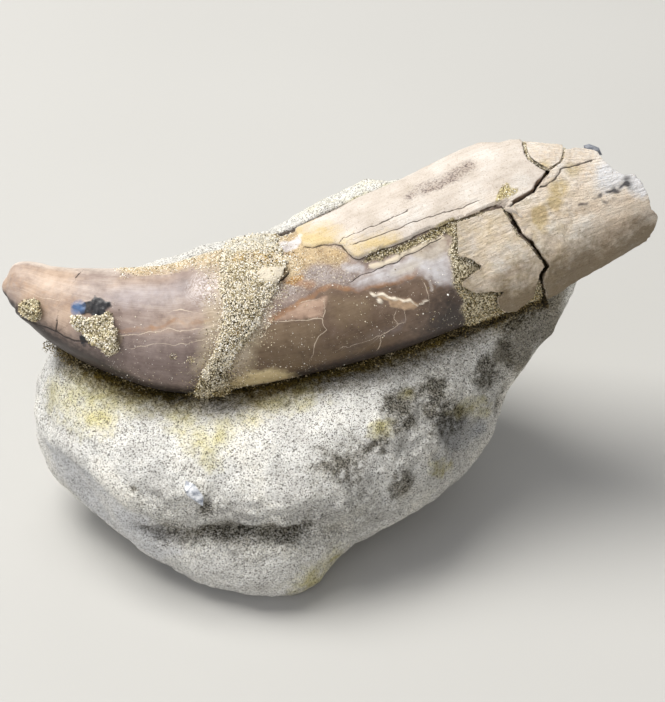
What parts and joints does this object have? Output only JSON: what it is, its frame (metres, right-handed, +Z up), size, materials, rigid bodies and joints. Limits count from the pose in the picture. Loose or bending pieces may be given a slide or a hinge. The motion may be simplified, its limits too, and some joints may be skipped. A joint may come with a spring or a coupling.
{
  "type": "fossil sea lion tooth in matrix",
  "caption": "Long curved fossil canine tooth with a cracked, bark-covered root, lying in a rounded block of pale fine sandstone that stands on a flat underside.",
  "frame": {"origin": "on the flat patch of the block's underside, below the middle of the tooth, at z = 0", "axes": "+Z up, +X along the tooth from its tip to its root, +Y from the front, where the tooth shows, to the back"},
  "size_m": [0.1045, 0.0647, 0.0646],
  "materials": {
    "sandstone": "rough, fine-grained sandstone",
    "dentine": "polished brown fossil dentine",
    "cementum": "dry, grained fossil cementum",
    "sand_crust": "rough yellow-brown sand"
  },
  "bodies": {
    "root": {"matrix_rock": "sandstone", "tooth": "dentine", "root_end": "cementum", "cementum_chip": "cementum", "cementum_plate": "cementum", "sand_clump_tip": "sand_crust", "sand_clump_side": "sand_crust"}
  },
  "joints": []
}
